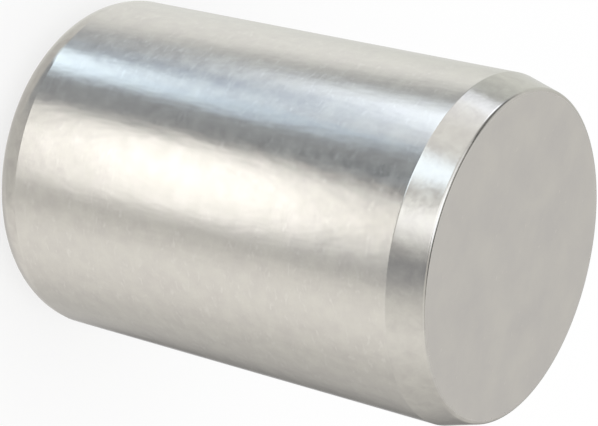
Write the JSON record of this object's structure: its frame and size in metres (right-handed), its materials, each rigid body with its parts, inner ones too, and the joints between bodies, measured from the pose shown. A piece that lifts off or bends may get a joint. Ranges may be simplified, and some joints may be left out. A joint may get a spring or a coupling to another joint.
{
  "type": "dowel pin",
  "caption": "Short solid ground steel pin with a bevelled point and a crowned end, pressed into reamed holes to line up two parts.",
  "frame": {"origin": "centre of the crowned end's face, which the pin stands on", "axes": "+Z along the pin's axis from the crowned end to the bevelled point"},
  "size_m": [0.0128, 0.0128, 0.0191],
  "materials": {
    "ground_steel": "ground bright around the shank and the bevel, satin on the end faces"
  },
  "bodies": {
    "root": {"dowel_pin": "ground_steel"}
  },
  "joints": []
}
